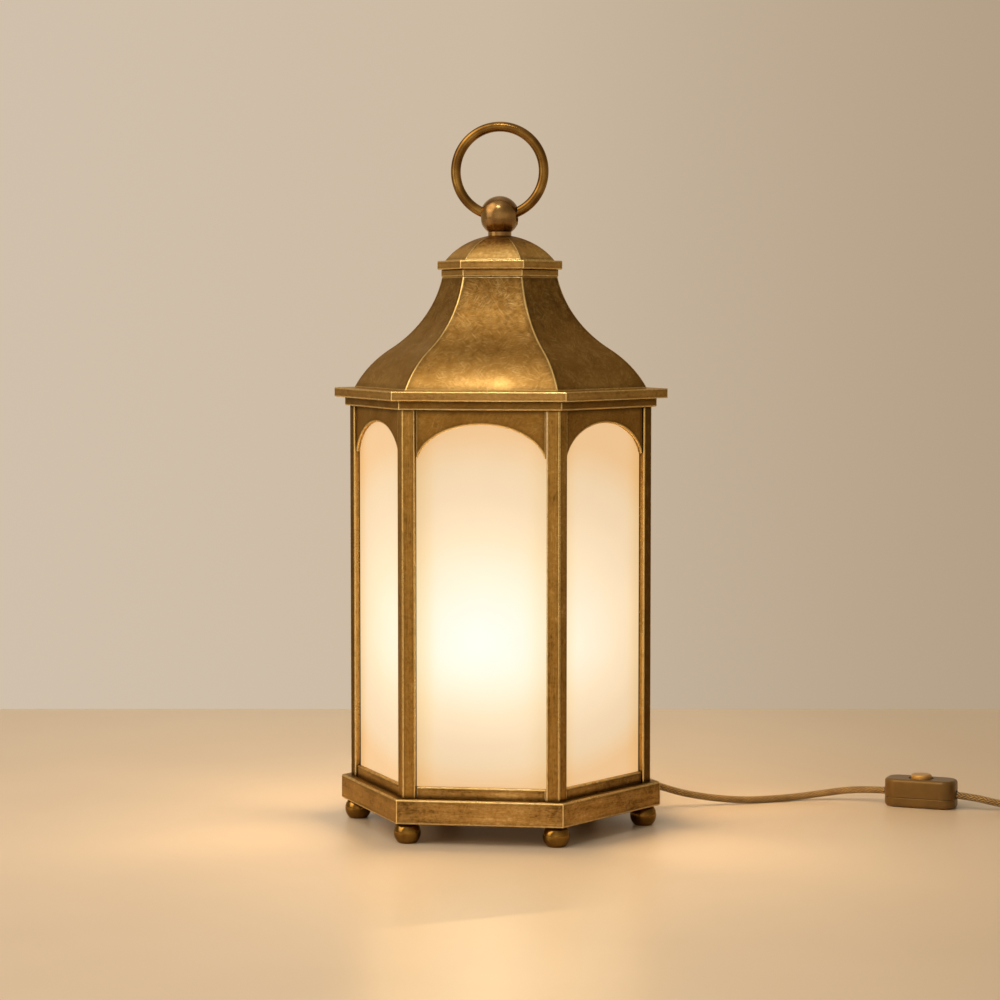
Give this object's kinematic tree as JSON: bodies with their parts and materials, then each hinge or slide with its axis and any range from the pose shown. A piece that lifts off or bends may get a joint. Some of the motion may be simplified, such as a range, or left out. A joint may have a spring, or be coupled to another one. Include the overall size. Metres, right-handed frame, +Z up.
{
  "type": "lantern table lamp",
  "caption": "Hexagonal lantern table lamp: brass frame, lit opal panes with arched heads, ogee roof, carrying ring, ball feet, and a cord with an inline switch and a plug.",
  "frame": {"origin": "middle of the lamp on the table, under the feet", "axes": "+Z up, -Y towards the front face, corners of the hexagon on the X axis"},
  "size_m": [0.6896, 0.2645, 0.5841],
  "materials": {
    "antique_brass": "antique patina, brushed, with polished edges",
    "polished_brass": "smooth, softly polished",
    "plain_brass": "plain sheet, satin",
    "opal_glass": "opal white, satin, lit from inside",
    "zinc_steel": "zinc plated",
    "porcelain": "glazed",
    "bulb_metal": "rolled sheet",
    "bulb_glass": "frosted inside",
    "dark_plastic": "moulded",
    "braid": "fine golden-brown braid",
    "lead_sleeve": "smooth sleeve",
    "tie_strap": "matt strap",
    "bronze_plastic": "matt bronze",
    "gold_button": "satin gold",
    "plug_plastic": "moulded, matt",
    "pin_metal": "bright"
  },
  "bodies": {
    "lantern_body": {"base_tray": "antique_brass", "bottom_rails": "antique_brass", "top_ring": "antique_brass", "post_1": "antique_brass", "post_2": "antique_brass", "post_3": "antique_brass", "post_4": "antique_brass", "post_5": "antique_brass", "post_6": "antique_brass", "spandrel_1": "antique_brass", "spandrel_2": "antique_brass", "spandrel_3": "antique_brass", "spandrel_4": "antique_brass", "spandrel_5": "antique_brass", "spandrel_6": "antique_brass", "holder_stem": "polished_brass", "nipple": "polished_brass", "foot_1": "polished_brass", "foot_2": "polished_brass", "foot_3": "polished_brass", "foot_4": "polished_brass", "foot_5": "polished_brass", "foot_6": "polished_brass", "lower_pane_stop": "plain_brass", "upper_pane_stop": "plain_brass", "bottom_cover": "plain_brass", "holder_base": "plain_brass", "holder_shell": "plain_brass", "pane_1": "opal_glass", "pane_2": "opal_glass", "pane_3": "opal_glass", "pane_4": "opal_glass", "pane_5": "opal_glass", "pane_6": "opal_glass", "nipple_nuts": "zinc_steel", "holder_insert": "porcelain", "bulb_cap": "bulb_metal", "bulb_glass": "bulb_glass", "cord_bushing": "dark_plastic", "switch_works": "dark_plastic", "lamp_cord": "braid", "mains_cord": "braid", "plug_cord": "braid", "cord_coil": "braid", "inner_lead": "lead_sleeve", "coil_tie": "tie_strap", "switch_lower": "bronze_plastic", "switch_upper": "bronze_plastic", "plug_body": "plug_plastic", "plug_pins": "pin_metal"},
    "roof": {"eave_plate": "antique_brass", "roof_shell": "antique_brass", "collar": "antique_brass", "cap_plate": "antique_brass", "dome_cap": "antique_brass", "finial_ball": "polished_brass", "finial_stud": "zinc_steel", "finial_nut": "zinc_steel"},
    "carry_ring": {"carry_ring": "polished_brass"},
    "switch_button": {"push_button": "gold_button"}
  },
  "joints": [
    {"name": "roof_lift", "type": "slide", "parent": "lantern_body", "child": "roof", "axis": [0, 0, 1], "range_m": [0, 0.1]},
    {"name": "ring_swing", "type": "hinge", "parent": "roof", "child": "carry_ring", "pos_m": [0, 0, 0.5065], "axis": [1, 0, 0], "range_deg": [-126, 126]},
    {"name": "button_press", "type": "slide", "parent": "lantern_body", "child": "switch_button", "axis": [0, 0, -1], "range_m": [0, 0.0025], "stiffness_N_per_m": 800, "springref_m": -0.002}
  ]
}
